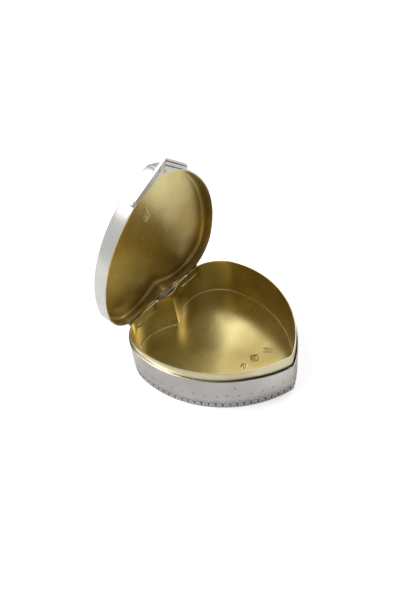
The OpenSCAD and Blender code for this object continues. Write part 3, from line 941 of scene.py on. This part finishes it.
def scroll(side, radius, reach):
    """A curl of some radius at a reach from the middle: a disc whose two faces carry a spiral groove, where
    the angle grows with the distance."""
    angle = np.arange(48)[None, :] / 48 * 2 * np.pi
    out = np.array([0.13, 0.33, 0.53, 0.73, 0.88, 0.97, 1.0])[:, None]
    spiral = 0.5 + 0.5 * np.cos(side * angle - 9.5 * out)
    sink = 0.16 * spiral**2 * (out < 0.95) + 0.1 * (out > 0.95)
    z0 = LID_RIM - (LIP_ROOT - SCROLL_Y) * LIP_SLOPE
    out_and_back = radius * np.vstack([out, out[::-1]])
    z = np.vstack([z0 + sink, (z0 + SCROLL_H - sink)[::-1]])
    x0 = side * reach
    # Painted shade: the spiral grooves are darkened.
    dark = np.vstack([spiral**2 * (out < 0.95), (spiral**2 * (out < 0.95))[::-1]])
    return grid(x0 + out_and_back * np.cos(angle), SCROLL_Y + out_and_back * np.sin(angle), z,
                first_pole=(x0, SCROLL_Y, z0), last_pole=(x0, SCROLL_Y, z0 + SCROLL_H), painted_darkness=0.6 * dark)


left_curl = scroll(-1, SCROLL_R, LIP_HALF + SCROLL_R - 0.1)
right_curl = scroll(1, SMALL_SCROLL_R, LIP_HALF + 0.1)
piece("lip_curl_left", left_curl, "lid", [lit_lid_silver], "silver", "lip_scroll_left")
piece("lip_curl_right", right_curl, "lid", [lit_lid_silver], "silver", "lip_scroll_right")

# %% [markdown]
# ## Floor and light
#
# Polished metal shows its surroundings more than itself, so the studio matters as much as the box. The
# paper under it is lit to a middle tone, which is what the metal mirrors, and gives a little light of its
# own towards the camera only, so that it still looks white. A brighter lamp could whiten the paper too, but
# it would also brighten all that the metal mirrors.

# %% The paper
FLOOR_HALF = 1.6
PAPER_LIFT = 0.55

floor_mesh = bpy.data.meshes.new("studio_floor")
corners = np.array([(-1, -1, 0), (1, -1, 0), (1, 1, 0), (-1, 1, 0)]) * FLOOR_HALF
floor_mesh.from_pydata(corners.tolist(), [], [(0, 1, 2, 3)])
floor_paper = bpy.data.materials.new("floor_paper")
floor_paper.use_nodes = True
paper_tree = floor_paper.node_tree
paper = paper_tree.nodes["Principled BSDF"]
paper.inputs["Roughness"].default_value = 0.9
paper.inputs["Emission Color"].default_value = (1.0, 1.0, 1.0, 1.0)
seen_directly = paper_tree.nodes.new("ShaderNodeLightPath").outputs["Is Camera Ray"]
lift = add_math(paper_tree, "MULTIPLY", seen_directly, PAPER_LIFT)
paper_tree.links.new(lift, paper.inputs["Emission Strength"])
paper_place = paper_tree.nodes.new("ShaderNodeTexCoord").outputs["Object"]
paper_grain = add_noise(paper_tree, paper_place, 400.0, 3)
paper_colour = add_mix(paper_tree, paper_grain, (0.88, 0.88, 0.88), (0.92, 0.92, 0.92))
paper_tree.links.new(paper_colour, paper.inputs["Base Color"])
floor_mesh.materials.append(floor_paper)
studio_floor = bpy.data.objects.new("studio_floor", floor_mesh)
bpy.context.scene.collection.objects.link(studio_floor)
print("paper:", 2 * FLOOR_HALF, "m wide")

# %% [markdown]
# One soft lamp hangs overhead, behind the box and to its left. The room round it is dark, with two bright
# patches: a strong one high on the right and a weak one low on the left. The gilding looks deep and brown
# where it mirrors the dark, and pale where it mirrors a patch. More lamps could do the same, but each would
# also light the paper. The camera itself sees a white backdrop.

# %% The lamp and the room
LAMP_PLACE = Vector((-0.38, 0.48, 1.03))
LAMP_SIZE, LAMP_WATTS = 0.55, 6.5
DARK_ROOM, LEFT_GLOW, RIGHT_GLOW = (0.18, 0.18, 0.19), (0.55, 0.55, 0.54), (2.6, 2.6, 2.54)
WHITE_BACK = (0.96, 0.96, 0.96)

lamp_data = bpy.data.lights.new("overhead", "AREA")
lamp_data.size = LAMP_SIZE
lamp_data.energy = LAMP_WATTS
lamp = bpy.data.objects.new("overhead", lamp_data)
lamp.location = LAMP_PLACE
lamp.rotation_euler = (-LAMP_PLACE).to_track_quat("-Z", "Y").to_euler()
bpy.context.scene.collection.objects.link(lamp)

RIGHT_WAY = Vector((0.78, 0.08, 0.62)).normalized()
LEFT_WAY = Vector((-0.88, 0.42, 0.22)).normalized()

world = bpy.data.worlds.new("room")
world.use_nodes = True
bpy.context.scene.world = world
room = world.node_tree
sky_way = room.nodes.new("ShaderNodeTexCoord").outputs["Generated"]


def bright_patch(way, low, high):
    """1 in the direction way, falling to 0 where the cosine of the angle to it drops from high to low."""
    towards = room.nodes.new("ShaderNodeVectorMath")
    towards.operation = "DOT_PRODUCT"
    room.links.new(sky_way, towards.inputs[0])
    towards.inputs[1].default_value = way
    return add_range(room, towards.outputs["Value"], low, high)


left_side = add_mix(room, bright_patch(LEFT_WAY, 0.6, 0.95), DARK_ROOM, LEFT_GLOW)
whole_room = add_mix(room, bright_patch(RIGHT_WAY, 0.84, 0.98), left_side, RIGHT_GLOW)
seen = room.nodes.new("ShaderNodeLightPath").outputs["Is Camera Ray"]
backdrop = room.nodes["Background"]
room.links.new(add_mix(room, seen, whole_room, WHITE_BACK), backdrop.inputs["Color"])
backdrop.inputs["Strength"].default_value = 1.0
bpy.context.scene.view_settings.view_transform = "Standard"
print("bright patches lie towards", [round(v, 2) for v in RIGHT_WAY], "and", [round(v, 2) for v in LEFT_WAY])
